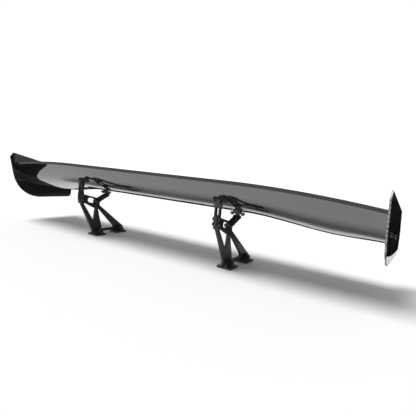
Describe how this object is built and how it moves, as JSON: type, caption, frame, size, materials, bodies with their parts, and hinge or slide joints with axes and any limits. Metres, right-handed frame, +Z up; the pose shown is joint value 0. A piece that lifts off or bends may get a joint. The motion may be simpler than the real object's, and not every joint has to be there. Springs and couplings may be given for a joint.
{
  "type": "racing rear wing",
  "caption": "Rear wing for a track car: cambered blade with drooped ends and upright end plates, on two open-frame stands with feet, with pivoting brackets for setting its angle.",
  "frame": {"origin": "under the middle of the wing, on the surface the feet stand on", "axes": "+X along the span, towards the right-hand end seen from behind the car; +Y towards the front of the car; +Z up"},
  "size_m": [1.454, 0.3116, 0.283],
  "materials": {
    "carbon_laminate": "glossy clear-coated woven laminate",
    "black_anodised_plate": "satin black anodised",
    "black_coated_metal": "satin black powder coat",
    "pad_rubber": "matt",
    "core_composite": "matt",
    "insert_brass": "machined",
    "sleeve_aluminium": "turned",
    "fastener_zinc": "dark zinc plated",
    "fastener_black": "black oxide"
  },
  "bodies": {
    "stands": {"arm_bolts": "fastener_black", "column_bolts": "fastener_black", "foot_bolts": "fastener_black", "foot_front_left": "black_coated_metal", "foot_front_right": "black_coated_metal", "foot_pad_front_left": "pad_rubber", "foot_pad_front_right": "pad_rubber", "foot_pad_rear_left": "pad_rubber", "foot_pad_rear_right": "pad_rubber", "foot_rear_left": "black_coated_metal", "foot_rear_right": "black_coated_metal", "front_arm_inner_left": "black_coated_metal", "front_arm_inner_right": "black_coated_metal", "front_arm_outer_left": "black_coated_metal", "front_arm_outer_right": "black_coated_metal", "front_pivot_bolts": "fastener_black", "m6_nuts": "fastener_zinc", "m6_washers": "fastener_zinc", "m8_nuts": "fastener_zinc", "m8_washers": "fastener_zinc", "stand_plate_left": "black_anodised_plate", "stand_plate_right": "black_anodised_plate"},
    "wing": {"blade_lower_skin": "carbon_laminate", "blade_upper_skin": "carbon_laminate", "bracket_riser_left": "black_coated_metal", "bracket_riser_right": "black_coated_metal", "bracket_sleeves": "sleeve_aluminium", "bracket_washers": "fastener_zinc", "end_plate_left": "carbon_laminate", "end_plate_right": "carbon_laminate", "end_plate_screws": "fastener_black", "end_plate_washers": "fastener_zinc", "front_bracket_left": "black_coated_metal", "front_bracket_right": "black_coated_metal", "front_bracket_screws": "fastener_black", "front_hardpoint_left": "core_composite", "front_hardpoint_right": "core_composite", "front_spar": "core_composite", "gurney_strip": "carbon_laminate", "rear_bracket_left": "black_coated_metal", "rear_bracket_right": "black_coated_metal", "rear_bracket_screws": "fastener_black", "rear_hardpoint_left": "core_composite", "rear_hardpoint_right": "core_composite", "rear_spar": "core_composite", "tip_rib_inserts": "insert_brass", "tip_rib_left": "core_composite", "tip_rib_right": "core_composite"},
    "link_left": {"rear_link_outer_left": "black_coated_metal", "rear_link_inner_left": "black_coated_metal", "rear_pivot_bolt_left": "fastener_black", "rear_pivot_nut_left": "fastener_zinc", "rear_pivot_washers_left": "fastener_zinc"},
    "link_right": {"rear_link_outer_right": "black_coated_metal", "rear_link_inner_right": "black_coated_metal", "rear_pivot_bolt_right": "fastener_black", "rear_pivot_nut_right": "fastener_zinc", "rear_pivot_washers_right": "fastener_zinc"}
  },
  "joints": [
    {"name": "wing_tilt", "type": "hinge", "parent": "stands", "child": "wing", "pos_m": [0, -0.0101, 0.15165], "axis": [1, 0, 0], "range_deg": [-4, 4]},
    {"name": "link_left_slide", "type": "slide", "parent": "stands", "child": "link_left", "axis": [0, 0, 1], "range_m": [-0.0083, 0.0083]},
    {"name": "link_right_slide", "type": "slide", "parent": "stands", "child": "link_right", "axis": [0, 0, 1], "range_m": [-0.0083, 0.0083]}
  ],
  "couplings": [
    {"joint": "link_left_slide", "follows": "wing_tilt", "m_per_rad": -0.11885},
    {"joint": "link_right_slide", "follows": "wing_tilt", "m_per_rad": -0.11885}
  ]
}
